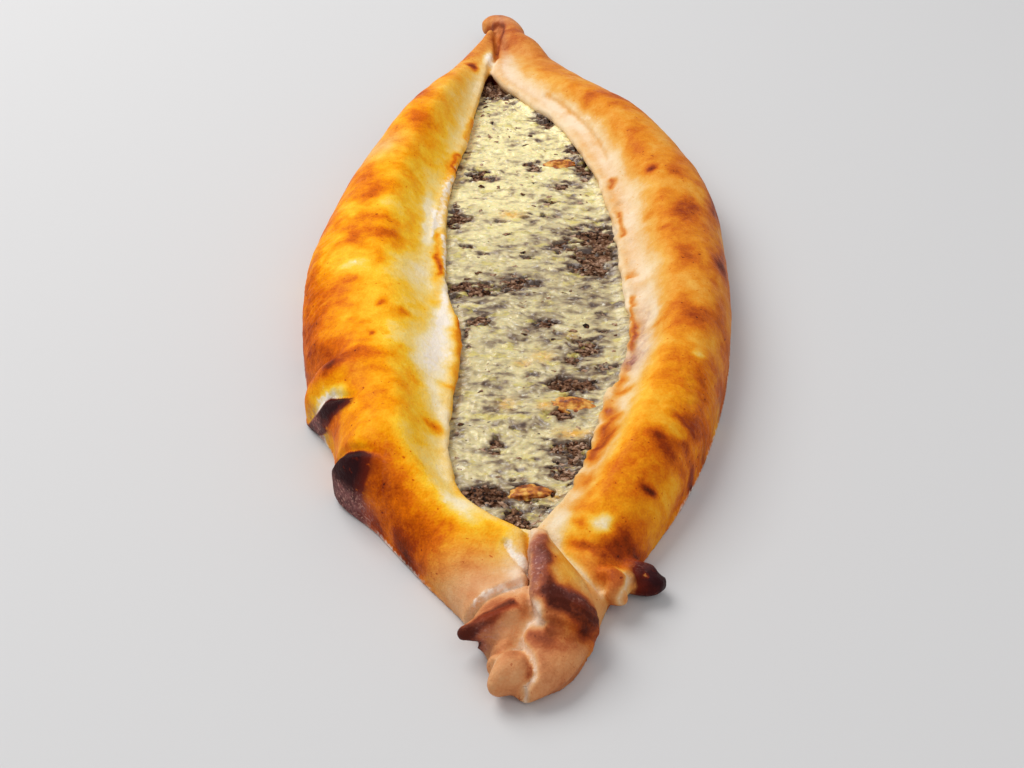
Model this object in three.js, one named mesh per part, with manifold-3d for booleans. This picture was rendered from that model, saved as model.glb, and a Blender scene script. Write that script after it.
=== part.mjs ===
// A baked pide: a long boat of folded bread dough, open on top, filled with minced meat
// under a blanket of melted cheese. Millimetres, +Z up, far tip towards +Y, standing on z = 0.
import * as THREE from "three";
import Module from "manifold-3d";

const wasm = await Module();
wasm.setup();

// Driving dimensions of the boat
const LEFT_CREST = 27.5;
const RIGHT_CREST = 26;
const LIP_TOP = 15;
const BASE_THICKNESS = 5;
const GAP = 0.3;

// Outline of each side's roll: its half width where widest, and how it closes towards each end
const LEFT_SIDE = {
  width: 76,
  widestY: -10,
  near: { reach: 174, fullness: 2.3 },
  far: { reach: 213, fullness: 1.5 },
};
const RIGHT_SIDE = {
  width: 75.8,
  widestY: 25,
  near: { reach: 216, fullness: 2.7 },
  far: { reach: 155, fullness: 1.66 },
};

// The two pinched ends under their folds: a broad tongue near, a narrow strip far
const TONGUE = { x: 4.5, y: -165, halfWidth: 17, length: 30 };
const FAR_TAIL = { x: -4.8, y: 180, halfWidth: 9.7, length: 12 };
const FAR_SEAM_X = -9.4;
const BLEND = { radius: 5, from: 100, full: 150, fading: 170, gone: 186 };
const HULL_NEAR = 194.6;
const HULL_FAR = 191.6;

// How the rolls sink towards each end, and where they close: distances from the middle
const NEAR_SINK = { from: 105, to: 172, height: 0.42, closing: 175, length: 24 };
const FAR_SINK = { from: 80, to: 175, height: 0.52, closing: 176, length: 18 };

// Section of a roll: where its crest lies, how round its wall and shoulder are, its tucked foot
// and its rounded lip
const CREST_ACROSS = 0.52;
const CREST_AT = 0.55;
const RIM_STEPS = 13;
const WALL_FULLNESS = 0.8;
const SHOULDER_FULLNESS = 0.85;
const FOOT_TUCK = { share: 0.05, until: 0.12 };
const LIP_EDGE = { from: 0.9, drop: 2.2 };
const LIP_CLOSING = { from: 128, to: 150, height: 0.93 };

// Two burnt pleats stand out of the left side near the viewer, with a notch between them
const PLEATS = [
  { y: -81, halfLength: 4.5, reach: 3 },
  { y: -96, halfLength: 6, reach: -1.6 },
  { y: -119, halfLength: 9, reach: 5 },
];
const HUMPS = [
  { x: -47, y: -120, halfWidth: 9, halfLength: 11, height: 2.4 },
  { x: -58, y: -83, halfWidth: 9, halfLength: 4.5, height: 2.2 },
];
const HUMP_FADE = 8;

// The opening between the folded rims, as [y, x] along each lip
const NEAR_APEX_Y = -146;
const FAR_APEX_Y = 138;
const LEFT_LIP = [
  [-146, 1.4], [-141, -7], [-132, -15.1], [-117, -20.1], [-96, -21.1], [-64, -18.9],
  [-44, -19.1], [-24, -23.7], [3, -25.6], [31, -25.7], [56, -23.4], [86, -18.9],
  [120, -14.9], [138, -12.7],
];
const RIGHT_LIP = [
  [-146, 3.4], [-134, 11.4], [-112, 20], [-89, 25.5], [-68, 32.6], [-50, 36.5],
  [-24, 35.7], [11, 34.5], [41, 31.5], [66, 25.8], [96, 15.3], [114, 3.1],
  [129, -7.4], [138, -10.7],
];
const UNDERCUT = 5;
const POCKET_WALL_TOP = 9.8;
const LIP_UNDERSIDE = 10.8;
const SLOT_TOP = 60;
const SLOT_SLACK = 0.6;
const UNDERCUT_FADE = 18;
const END_CLEARANCE = { near: 2.5, far: 1.5 };

// The filling
const MEAT_TOP = 9;
const CHEESE_THICKNESS = 1.9;
const CHEESE_EDGE = 1.2;
const CHEESE_EDGE_WIDTH = 5;
const CHEESE_LUMP = 0.6;
const CHEESE_COLUMNS = 8;
const CHEESE_FAR_END = 126;

// Bare mounds of mince that break through the cheese: x, y, half width, half length, turn
const MOUNDS = [
  [-14.8, 58.6, 4.8, 4.2, 0.3],
  [-21.8, 26, 3.6, 6.5, 0],
  [12, 100, 3.6, 2.8, -0.5],
  [24, 78.5, 3.8, 4, 0.4],
  [26, 58, 3.8, 4.5, 0],
  [16.5, 50.5, 5, 3.2, -0.2],
  [28.5, 15, 6.2, 8.5, -0.2],
  [25.5, -3.5, 5.6, 6, 0.4],
  [-17.8, -18.7, 6, 5.6, 0.2],
  [0.8, -13.8, 5, 4.4, -0.4],
  [-13, -38, 4, 3, 0],
  [20.5, -52, 4, 3.4, 0.3],
  [17.5, -74, 7.6, 3.4, 0.1],
  [-7.6, -103, 3.4, 4, 0],
  [13, -109, 7, 6.5, 0.3],
  [-10.5, -125.6, 5.8, 4, -0.3],
  [0.5, -136.5, 3.4, 3.4, 0.2],
];
const MOUND_HEIGHT = 2.9;
const MOUND_RISE = 0.4;

// Softened tomato pieces lying in the filling: x, y, half width, half length, turn
const TOMATOES = [
  [16.5, 67.5, 6.2, 3.4, 0.1],
  [16.5, -83.5, 6.2, 3.8, -0.15],
  [3.4, -125, 6.2, 3.8, 0.1],
];
const TOMATO_HALF_HEIGHT = 1.9;
const TOMATO_RISE = 1.9;

// Folds and drips of dough at the two ends, each a tapering roll along a curve.
// A stop is [x, y, z, half width, half height]; lean pushes the top of a roll sideways.
const FOLDS = {
  farHook: {
    lean: 0,
    stops: [
      [15, 142, 9, 5, 5],
      [4, 160, 11.4, 7.5, 6.8],
      [-1.5, 172, 11.4, 6.8, 6],
      [-2.6, 183, 11, 5.8, 5.5],
      [-6, 190.9, 10.6, 5.4, 5],
      [-11, 194, 10, 5, 4.8],
      [-15.4, 192.4, 9.4, 2.4, 2.8],
    ],
  },
  nearFin: {
    lean: -0.55,
    stops: [
      [4.6, -150.5, 16, 1.6, 2.2],
      [7.4, -159, 15, 4.6, 6],
      [10.6, -168, 13, 7.8, 8.6],
      [13, -177, 10.5, 8.4, 9],
      [13.4, -184, 7.5, 6.6, 7],
    ],
  },
  nearLobe: {
    lean: 0,
    stops: [
      [9, -164, 7, 11, 6.5],
      [8.6, -174, 7, 12.4, 6.8],
      [6, -185, 6.4, 10.8, 6.3],
      [2.6, -193, 5.4, 7.4, 5.3],
      [0.6, -198, 4, 2.6, 2.8],
    ],
  },
  nearPoint: {
    lean: 0,
    stops: [
      [5, -170, 9, 4.6, 5],
      [-3, -174.6, 9.4, 4.8, 5],
      [-10, -177.4, 8.4, 3.8, 4.2],
      [-16.4, -179.6, 7.4, 1, 1.4],
    ],
  },
  burntDrip: {
    lean: 0,
    stops: [
      [24, -151, 5, 5, 4.4],
      [31, -154, 4.8, 5.4, 4.5],
      [37, -156.2, 4.4, 4.4, 3.9],
      [41.4, -156, 3.8, 1.4, 1.8],
    ],
  },
};

// Round knobs of dough. A place is x, y, half width, half length, turn; z is of the middle.
const BUTTON = { place: [-3.4, -192.2, 6.3, 6.2, 0.4], z: 6.6, halfHeight: 6.2 };
const RIGHT_CURL = { place: [26.5, -161, 4.8, 6, 0.5], z: 8, halfHeight: 5.6 };

const CRUST_FINISH = { color: 0xd98a2b, roughness: 0.55, metalness: 0 };
const MEAT_FINISH = { color: 0x5a4034, roughness: 0.7, metalness: 0 };
const CHEESE_FINISH = { color: 0xe3d9a4, roughness: 0.45, metalness: 0 };
const TOMATO_FINISH = { color: 0xc86a1c, roughness: 0.4, metalness: 0 };

const clamp = THREE.MathUtils.clamp;
const lerp = THREE.MathUtils.lerp;
const smoothstep = THREE.MathUtils.smoothstep;

// The larger of two values, rounded where they cross, so that a tail grows out in a fillet.
function softMax(a, b, radius) {
  return (a + b + Math.hypot(a - b, radius)) / 2;
}

// A bump of height 1 at its centre that fades with distance.
function bell(distance) {
  return Math.exp(-distance * distance);
}

// A smooth function of y through [y, value] points.
function through(points) {
  const slope = (i) => {
    const a = points[Math.max(i - 1, 0)];
    const b = points[Math.min(i + 1, points.length - 1)];
    return (b[1] - a[1]) / (b[0] - a[0]);
  };
  return (y) => {
    const inside = clamp(y, points[0][0], points.at(-1)[0]);
    const i = clamp(points.findIndex((p) => p[0] > inside) - 1, 0, points.length - 2);
    const last = inside >= points.at(-1)[0] ? points.length - 2 : i;
    const [y0, v0] = points[last];
    const [y1, v1] = points[last + 1];
    const step = y1 - y0;
    const t = (inside - y0) / step;
    const t2 = t * t;
    const t3 = t2 * t;
    return (
      v0 * (2 * t3 - 3 * t2 + 1) +
      slope(last) * step * (t3 - 2 * t2 + t) +
      v1 * (3 * t2 - 2 * t3) +
      slope(last + 1) * step * (t3 - t2)
    );
  };
}

const leftLip = through(LEFT_LIP);
const rightLip = through(RIGHT_LIP);

// Quarter-circle fade that closes a tip in a round end.
function roundEnd(past, length) {
  const t = clamp(past / length, 0, 1);
  return Math.sqrt(Math.max(1 - t * t, 0));
}

function bodyReach(side, y) {
  const form = side < 0 ? LEFT_SIDE : RIGHT_SIDE;
  const end = y < form.widestY ? form.near : form.far;
  return form.width * (1 - (Math.abs(y - form.widestY) / end.reach) ** end.fullness);
}

// The pinched strip that carries on where the body comes to a point.
function tailReach(side, y) {
  const form = y < 0 ? TONGUE : FAR_TAIL;
  return side * form.x + form.halfWidth * roundEnd(Math.abs(y) - Math.abs(form.y), form.length);
}

function leftPleats(y) {
  return PLEATS.reduce((sum, p) => sum + p.reach * bell((y - p.y) / p.halfLength), 0);
}

// The outer edge of one side: -1 is left, +1 is right.
function outerEdge(side, y) {
  const body = bodyReach(side, y) + (side < 0 ? leftPleats(y) : 0);
  const far = Math.abs(y);
  if (far < BLEND.from) return side * body;
  const grown = smoothstep(far, BLEND.from, BLEND.full);
  const faded = 1 - smoothstep(far, BLEND.fading, BLEND.gone);
  return side * softMax(body, tailReach(side, y), BLEND.radius * grown * faded);
}

// Seam that the two rims make beyond each end of the opening.
const FAR_SEAM_STRAIGHT_FROM = 160;
function seam(y) {
  const near = lerp(leftLip(NEAR_APEX_Y), rightLip(NEAR_APEX_Y), 0.5);
  const far = lerp(leftLip(FAR_APEX_Y), rightLip(FAR_APEX_Y), 0.5);
  return y < 0
    ? lerp(near, TONGUE.x, smoothstep(-y, -NEAR_APEX_Y, HULL_NEAR))
    : lerp(far, FAR_SEAM_X, smoothstep(y, FAR_APEX_Y, FAR_SEAM_STRAIGHT_FROM));
}

function innerEdge(side, y) {
  if (y <= NEAR_APEX_Y || y >= FAR_APEX_Y) return seam(y) + side * 1;
  return side < 0 ? leftLip(y) : rightLip(y);
}

// The rolls sink towards both ends and close in a round end.
function crestHeight(side, y) {
  const middle = side < 0 ? LEFT_CREST : RIGHT_CREST;
  const sink = y < 0 ? NEAR_SINK : FAR_SINK;
  const far = Math.abs(y);
  const height = lerp(1, sink.height, smoothstep(far, sink.from, sink.to));
  return middle * height * roundEnd(far - sink.closing, sink.length);
}

function lipHeight(side, y) {
  const closed = smoothstep(Math.abs(y), LIP_CLOSING.from, LIP_CLOSING.to);
  return lerp(LIP_TOP, LIP_CLOSING.height * crestHeight(side, y), closed);
}

// Burnt humps on the left roll, behind its two pleats.
function leftHumps(x, y) {
  return HUMPS.reduce((sum, h) => {
    const from = Math.hypot((x - h.x) / h.halfWidth, (y - h.y) / h.halfLength);
    return sum + h.height * bell(from);
  }, 0);
}

// Point of one rim's upper surface: t runs from 0 at the foot to 1 at the inner edge.
function rimPoint(side, y, t) {
  const outer = outerEdge(side, y);
  const inner = innerEdge(side, y);
  const crest = lerp(outer, inner, CREST_ACROSS);
  const top = crestHeight(side, y);
  if (t < CREST_AT) {
    const angle = (t / CREST_AT) * (Math.PI / 2);
    const x = lerp(crest, outer, Math.cos(angle) ** WALL_FULLNESS);
    const tuck = FOOT_TUCK.share * (crest - outer) * Math.max(0, 1 - t / FOOT_TUCK.until);
    return [x + tuck, top * Math.sin(angle) ** SHOULDER_FULLNESS];
  }
  const s = (t - CREST_AT) / (1 - CREST_AT);
  const lip = lipHeight(side, y);
  const fall = smoothstep(s, 0, LIP_EDGE.from);
  const rounding = Math.max(0, (s - LIP_EDGE.from) / (1 - LIP_EDGE.from)) ** 2;
  return [lerp(crest, inner, s), lerp(top, lip, fall) - LIP_EDGE.drop * rounding];
}

// A closed solid through rings of equally many points, capped flat at both ends.
function loft(rings) {
  const count = rings[0].length;
  const position = [];
  const index = [];
  for (const ring of rings) {
    for (const point of ring) position.push(...point);
  }
  for (let r = 0; r + 1 < rings.length; r++) {
    for (let i = 0; i < count; i++) {
      const a = r * count + i;
      const b = r * count + ((i + 1) % count);
      index.push(a, a + count, b, b, a + count, b + count);
    }
  }
  for (const end of [0, rings.length - 1]) {
    const middle = position.length / 3;
    position.push(...[0, 1, 2].map((k) => rings[end].reduce((sum, p) => sum + p[k], 0) / count));
    for (let i = 0; i < count; i++) {
      const a = end * count + i;
      const b = end * count + ((i + 1) % count);
      index.push(...(end === 0 ? [a, b, middle] : [b, a, middle]));
    }
  }
  const geometry = new THREE.BufferGeometry();
  geometry.setAttribute("position", new THREE.Float32BufferAttribute(position, 3));
  geometry.setIndex(index);
  return toSolid(geometry);
}

function toSolid(geometry) {
  return new wasm.Manifold(
    new wasm.Mesh({
      numProp: 3,
      vertProperties: Float32Array.from(geometry.attributes.position.array),
      triVerts: Uint32Array.from(geometry.index.array),
    }),
  );
}

function toGeometry(solid) {
  const mesh = solid.getMesh();
  const geometry = new THREE.BufferGeometry();
  geometry.setAttribute("position", new THREE.BufferAttribute(mesh.vertProperties, 3));
  geometry.setIndex(new THREE.BufferAttribute(mesh.triVerts, 1));
  geometry.computeVertexNormals();
  return geometry;
}

// Evenly counted stations that crowd towards both tips.
function stations(from, to, count, crowding) {
  return Array.from({ length: count + 1 }, (_, i) => {
    const t = i / count;
    const eased = lerp(t, (1 - Math.cos(Math.PI * t)) / 2, crowding);
    return lerp(from, to, eased);
  });
}

// The whole boat of dough before its pocket is opened and its end folds are laid on.
function doughHull() {
  const rings = stations(-HULL_NEAR, HULL_FAR, 68, 0.5).map((y) => {
    const section = (side) => {
      return Array.from({ length: RIM_STEPS + 1 }, (_, i) => {
        const [x, z] = rimPoint(side, y, i / RIM_STEPS);
        return [x, y, z + leftHumps(x, y) * Math.min(1, z / HUMP_FADE)];
      });
    };
    return [...section(1), ...section(-1).reverse()];
  });
  return loft(rings);
}

// Room for the filling: wider under the lips than between them, and open to the top.
// An inset keeps the same form a little smaller, for what lies in it.
const pocketStart = NEAR_APEX_Y + END_CLEARANCE.near;
const pocketEnd = FAR_APEX_Y - END_CLEARANCE.far;
const pocketStations = stations(pocketStart, pocketEnd, 42, 0.4);

function pocket(inset) {
  const rings = pocketStations.map((y, i) => {
    const fromEnd = Math.min(y - NEAR_APEX_Y, FAR_APEX_Y - y);
    const reach = UNDERCUT * smoothstep(fromEnd, 0, UNDERCUT_FADE) + 1;
    const left = innerEdge(-1, y) - SLOT_SLACK + inset;
    const right = innerEdge(1, y) + SLOT_SLACK - inset;
    const shift = i === 0 ? inset : i === pocketStations.length - 1 ? -inset : 0;
    return [
      [left - reach, BASE_THICKNESS + inset],
      [right + reach, BASE_THICKNESS + inset],
      [right + reach, POCKET_WALL_TOP - inset],
      [right, LIP_UNDERSIDE - inset],
      [right, SLOT_TOP],
      [left, SLOT_TOP],
      [left, LIP_UNDERSIDE - inset],
      [left - reach, POCKET_WALL_TOP - inset],
    ].map(([x, z]) => [x, y + shift, z]);
  });
  return loft(rings);
}

// A block from below the pocket's floor up to a surface, wide enough to pass under the lips.
// It has few columns where its surface is flat. One block cut from another leaves a layer.
function block(surface, columns, margin, farEnd = FAR_APEX_Y) {
  const rings = pocketStations.filter((y) => y < farEnd).map((y) => {
    const left = innerEdge(-1, y) - 2 * SLOT_SLACK;
    const right = innerEdge(1, y) + 2 * SLOT_SLACK;
    const top = Array.from({ length: columns + 1 }, (_, i) => {
      const x = lerp(right, left, i / columns);
      return [x, y, surface(x, y)];
    });
    const out = UNDERCUT + margin;
    const floor = BASE_THICKNESS - margin;
    return [
      [left - out, y, floor],
      [right + out, y, floor],
      [right + out, y, MEAT_TOP],
      ...top,
      [left - out, y, MEAT_TOP],
    ];
  });
  return loft(rings);
}

// Melted cheese thins out towards the lips and takes the lumps of the mince below it.
function cheeseTop(x, y) {
  const inside = Math.min(x - innerEdge(-1, y), innerEdge(1, y) - x);
  const thick = lerp(CHEESE_EDGE, CHEESE_THICKNESS, smoothstep(inside, 0, CHEESE_EDGE_WIDTH));
  const coarse = Math.sin(0.36 * x + 1.3) * Math.sin(0.29 * y + 0.4 * Math.sin(0.21 * x));
  const fine = Math.sin(0.8 * x - 0.5 * y + 2) * Math.sin(0.6 * y + 0.4 * x);
  return MEAT_TOP + GAP + thick + CHEESE_LUMP * (0.65 * coarse + 0.35 * fine);
}

// A low rounded lump, made uneven by waves round it; grow adds an even margin for a clearance.
function lump([x, y, halfWidth, halfLength, turn], z, halfHeight, detail, grow) {
  const geometry = new THREE.IcosahedronGeometry(1, detail);
  geometry.deleteAttribute("normal");
  geometry.deleteAttribute("uv");
  const rough = geometry.attributes.position;
  const welded = new Map();
  const points = [];
  const index = [];
  for (let i = 0; i < rough.count; i++) {
    const p = new THREE.Vector3().fromBufferAttribute(rough, i);
    const key = p.toArray().map((v) => v.toFixed(4)).join();
    if (!welded.has(key)) {
      welded.set(key, points.length);
      points.push(p);
    }
    index.push(welded.get(key));
  }
  const placed = points.flatMap((p) => {
    const around = Math.atan2(p.y, p.x);
    const wave = 1 + 0.14 * Math.sin(3 * around + x) + 0.1 * Math.sin(5 * around + y);
    const across = p.x * (halfWidth * wave + grow);
    const along = p.y * (halfLength * wave + grow);
    return [
      x + across * Math.cos(turn) - along * Math.sin(turn),
      y + across * Math.sin(turn) + along * Math.cos(turn),
      z + p.z * (halfHeight + grow),
    ];
  });
  const shaped = new THREE.BufferGeometry();
  shaped.setAttribute("position", new THREE.Float32BufferAttribute(placed, 3));
  shaped.setIndex(index);
  return toSolid(shaped);
}

function mound(place, grow) {
  return lump(place, MEAT_TOP + MOUND_RISE, MOUND_HEIGHT, 1, grow);
}

function tomato(place, grow) {
  return lump(place, MEAT_TOP + TOMATO_RISE, TOMATO_HALF_HEIGHT, 1, grow);
}

// A tapering roll of dough along a curve.
function doughRoll({ stops, lean }) {
  const steps = 3 * (stops.length - 1);
  const sides = 12;
  const path = new THREE.CatmullRomCurve3(stops.map(([x, y, z]) => new THREE.Vector3(x, y, z)));
  const sized = (k) => through(stops.map((stop, i) => [i / (stops.length - 1), stop[k]]));
  const wide = sized(3);
  const high = sized(4);
  const rings = Array.from({ length: steps + 1 }, (_, r) => {
    const t = r / steps;
    const centre = path.getPoint(t);
    const ahead = path.getTangent(t);
    const across = new THREE.Vector3(ahead.y, -ahead.x, 0).normalize();
    return Array.from({ length: sides }, (__, i) => {
      const angle = (i / sides) * 2 * Math.PI;
      const rise = Math.sin(angle);
      const offset = wide(t) * Math.cos(angle);
      const point = centre.clone().addScaledVector(across, offset);
      point.x += lean * wide(t) * Math.max(rise, 0);
      point.z = Math.max(point.z + high(t) * rise, 0.1);
      return point.toArray();
    });
  });
  return loft(rings);
}

const mounds = MOUNDS.map((place) => mound(place, 0));
const moundRoom = MOUNDS.map((place) => mound(place, GAP));
const tomatoes = TOMATOES.map((place) => tomato(place, 0));
const tomatoRoom = TOMATOES.map((place) => tomato(place, GAP));

const join = (solids) => solids.reduce((a, b) => a.add(b));
const fillingRoom = pocket(GAP);
const folds = Object.values(FOLDS).map(doughRoll);
const knobs = [BUTTON, RIGHT_CURL].map(({ place, z, halfHeight }) => lump(place, z, halfHeight, 2, 0));
const crust = join([doughHull(), ...folds, ...knobs]).subtract(pocket(0));
const meatBlock = block(() => MEAT_TOP, 1, 1);
const meat = join([meatBlock, ...mounds]).intersect(fillingRoom).subtract(join(tomatoRoom));
const cheese = block(cheeseTop, CHEESE_COLUMNS, 1, CHEESE_FAR_END)
  .subtract(block(() => MEAT_TOP + GAP, 1, 2))
  .intersect(fillingRoom)
  .subtract(join(moundRoom))
  .subtract(join(tomatoRoom));

function piece(name, solid, finish) {
  const mesh = new THREE.Mesh(toGeometry(solid), new THREE.MeshStandardMaterial(finish));
  mesh.name = name;
  return mesh;
}

const pide = new THREE.Group();
pide.add(piece("crust", crust, CRUST_FINISH));
pide.add(piece("minced_meat", meat, MEAT_FINISH));
pide.add(piece("melted_cheese", cheese, CHEESE_FINISH));
tomatoes.forEach((solid, i) => pide.add(piece(`tomato_piece_${i + 1}`, solid, TOMATO_FINISH)));

export default pide;
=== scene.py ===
import math
import bmesh
import bpy
import numpy as np
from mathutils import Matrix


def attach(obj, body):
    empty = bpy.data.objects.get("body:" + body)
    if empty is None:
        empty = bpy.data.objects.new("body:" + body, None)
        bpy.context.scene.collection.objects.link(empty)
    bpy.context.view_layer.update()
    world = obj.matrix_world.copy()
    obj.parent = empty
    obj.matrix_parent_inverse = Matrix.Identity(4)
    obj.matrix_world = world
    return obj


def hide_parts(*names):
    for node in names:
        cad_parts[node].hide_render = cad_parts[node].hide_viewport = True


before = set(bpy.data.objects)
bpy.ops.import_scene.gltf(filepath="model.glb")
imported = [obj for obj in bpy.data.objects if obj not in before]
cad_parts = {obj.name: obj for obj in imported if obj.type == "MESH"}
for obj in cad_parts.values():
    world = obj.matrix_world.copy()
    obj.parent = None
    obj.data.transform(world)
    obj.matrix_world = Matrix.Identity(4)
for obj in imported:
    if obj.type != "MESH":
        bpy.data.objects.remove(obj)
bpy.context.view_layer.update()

# The dough: one long oval of leavened wheat dough, rolled out flat. Its two long sides are rolled
# inwards into high rims over the filling, its ends are pinched and folded shut, and it is baked
# hot on a stone, so that it browns unevenly. All its sizes are in millimetres.
LEFT_CREST = 27.5
RIGHT_CREST = 26
LIP_TOP = 15
# The foot of each side: its greatest distance out, where along y that is, and for the run to the
# near and to the far end how long it is and how full its curve.
LEFT_SIDE = {"width": 76, "widest": -10, "near": (174, 2.3), "far": (213, 1.5)}
RIGHT_SIDE = {"width": 75.8, "widest": 25, "near": (216, 2.7), "far": (155, 1.66)}
# The pinched ends: middle, where the rounding starts, half width, length of the rounding.
TONGUE = {"x": 4.5, "y": 165, "half_width": 17, "length": 30}
FAR_TAIL = {"x": -4.8, "y": 180, "half_width": 9.7, "length": 12}
FAR_SEAM_X = -9.4
# Two folds of dough stand out of the left side. Swellings: y, half length, how far out.
LEFT_SWELLINGS = [(-81, 4.5, 3), (-96, 6, -1.6), (-119, 9, 5)]
# Humps on top of the same folds: x, y, half width, half length, height.
LEFT_HUMPS = [(-47, -120, 9, 11, 2.4), (-58, -83, 9, 4.5, 2.2)]
# How the crests sink towards the ends, by distance from the middle: where the fall starts and
# ends, the share of the height that is left, and where the end rounds off, over what length.
NEAR_FALL = {"start": 105, "end": 172, "left": 0.42, "round_from": 175, "round_over": 24}
FAR_FALL = {"start": 80, "end": 175, "left": 0.52, "round_from": 176, "round_over": 18}
# A rim's section: the crest's place on the way from foot to inner edge, the share of the points
# that lie on the outer wall, how far the foot bulges, and how far the lip's edge rounds down.
CREST_PLACE = 0.52
WALL_SHARE = 0.55
FOOT_BULGE = 0.05
LIP_ROUNDING = 2.2
# Where the dough's body ends along y, and where the opening over the filling does.
HULL_NEAR = -194.6
HULL_FAR = 191.6
NEAR_APEX = -146
FAR_APEX = 138
# The lips' edges over the filling, from near to far, as (y, x).
LEFT_LIP = [
    (-146, 1.4), (-141, -7), (-132, -15.1), (-117, -20.1), (-96, -21.1), (-64, -18.9),
    (-44, -19.1), (-24, -23.7), (3, -25.6), (31, -25.7), (56, -23.4), (86, -18.9),
    (120, -14.9), (138, -12.7),
]
RIGHT_LIP = [
    (-146, 3.4), (-134, 11.4), (-112, 20), (-89, 25.5), (-68, 32.6), (-50, 36.5),
    (-24, 35.7), (11, 34.5), (41, 31.5), (66, 25.8), (96, 15.3), (114, 3.1),
    (129, -7.4), (138, -10.7),
]
# Folds and drips of dough at the ends: a stop is x, y, z, half width, half height.
FOLDS = {
    "far hook": (0, [
        (15, 142, 9, 5, 5), (4, 160, 11.4, 7.5, 6.8), (-1.5, 172, 11.4, 6.8, 6),
        (-2.6, 183, 11, 5.8, 5.5), (-6, 190.9, 10.6, 5.4, 5), (-11, 194, 10, 5, 4.8),
        (-15.4, 192.4, 9.4, 2.4, 2.8),
    ]),
    "near fin": (-0.55, [
        (4.6, -150.5, 16, 1.6, 2.2), (7.4, -159, 15, 4.6, 6), (10.6, -168, 13, 7.8, 8.6),
        (13, -177, 10.5, 8.4, 9), (13.4, -184, 7.5, 6.6, 7),
    ]),
    "near lobe": (0, [
        (9, -164, 7, 11, 6.5), (8.6, -174, 7, 12.4, 6.8), (6, -185, 6.4, 10.8, 6.3),
        (2.6, -193, 5.4, 7.4, 5.3), (0.6, -198, 4, 2.6, 2.8),
    ]),
    "near point": (0, [
        (5, -170, 9, 4.6, 5), (-3, -174.6, 9.4, 4.8, 5), (-10, -177.4, 8.4, 3.8, 4.2),
        (-16.4, -179.6, 7.4, 1, 1.4),
    ]),
    "burnt drip": (0, [
        (24, -151, 5, 5, 4.4), (31, -154, 4.8, 5.4, 4.5), (37, -156.2, 4.4, 4.4, 3.9),
        (41.4, -156, 3.8, 1.4, 1.8),
    ]),
}
# Round knobs: x, y, z, half width, half length, half height, turn.
KNOBS = [(-3.4, -192.2, 6.6, 6.3, 6.2, 6.2, 0.4), (26.5, -161, 8, 4.8, 6, 5.6, 0.5)]
DOUGH_STEP = 0.75


def smooth(value, start, end):
    t = np.clip((value - start) / (end - start), 0, 1)
    return t * t * (3 - 2 * t)


def mix(a, b, share):
    return a + (b - a) * share


def bell(distance):
    return np.exp(-distance * distance)


def turned(x, y, angle):
    """Places turned anticlockwise about the origin, by an angle in radians."""
    c, s = np.cos(angle), np.sin(angle)
    return x * c - y * s, x * s + y * c


def through(stops):
    """A smooth curve through (place, value) stops."""
    place, value = np.array(stops, float).T
    last = len(place) - 1
    after = np.minimum(np.arange(last + 1) + 1, last)
    before = np.maximum(np.arange(last + 1) - 1, 0)
    slope = (value[after] - value[before]) / (place[after] - place[before])

    def curve(at):
        at = np.clip(at, place[0], place[-1])
        i = np.clip(np.searchsorted(place, at, side="right") - 1, 0, last - 1)
        step = place[i + 1] - place[i]
        t = (at - place[i]) / step
        rise = value[i] * (2 * t**3 - 3 * t**2 + 1) + value[i + 1] * (3 * t**2 - 2 * t**3)
        lean = slope[i] * (t**3 - 2 * t**2 + t) + slope[i + 1] * (t**3 - t**2)
        return rise + lean * step

    return curve


def noise(points, size, seed, octaves=3):
    """Smooth random heights between about -1 and 1, in lumps of the given size."""
    total = np.zeros(len(points))
    weight = 1.0
    for octave in range(octaves):
        place = points / size * 2**octave + 17.3 * seed + 5.1 * octave
        cell = np.floor(place).astype(np.int64)
        part = place - cell
        part = part * part * (3 - 2 * part)
        # Each corner of a cell gets its own scrambled whole number, which is its height.
        for corner in range(8):
            step = np.array([corner & 1, corner >> 1 & 1, corner >> 2 & 1])
            at = cell + step
            key = at[:, 0] * 73856093 ^ at[:, 1] * 19349663 ^ at[:, 2] * 83492791 ^ seed * 2654435
            key = (key ^ key >> 15) * 739982445 & 0x7FFFFFFF
            key = (key ^ key >> 12) * 695872825 & 0x7FFFFFFF
            key ^= key >> 15
            share = np.prod(np.where(step, part, 1 - part), axis=1)
            total += weight * share * (key / 0x3FFFFFFF - 1)
        weight *= 0.5
    return total / 1.2


lip_curves = {-1: through(LEFT_LIP), 1: through(RIGHT_LIP)}


def outer_edge(side, y):
    """Where one side's foot meets the ground: a long bow that runs out into the tails."""
    form = LEFT_SIDE if side < 0 else RIGHT_SIDE
    reach = np.where(y < form["widest"], form["near"][0], form["far"][0])
    fullness = np.where(y < form["widest"], form["near"][1], form["far"][1])
    body = form["width"] * (1 - (np.abs(y - form["widest"]) / reach) ** fullness)
    if side < 0:
        for middle, half_length, swell in LEFT_SWELLINGS:
            body = body + swell * bell((y - middle) / half_length)
    strip = np.zeros_like(y)
    for near, tail in ((True, TONGUE), (False, FAR_TAIL)):
        past = np.clip((np.abs(y) - tail["y"]) / tail["length"], 0, 1)
        width = side * tail["x"] + tail["half_width"] * np.sqrt(1 - past * past)
        strip = np.where((y < 0) == near, width, strip)
    blend = 5 * smooth(np.abs(y), 100, 150) * (1 - smooth(np.abs(y), 170, 186))
    joined = (body + strip + np.hypot(body - strip, blend)) / 2
    return side * np.where(np.abs(y) < 100, body, joined)


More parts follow.
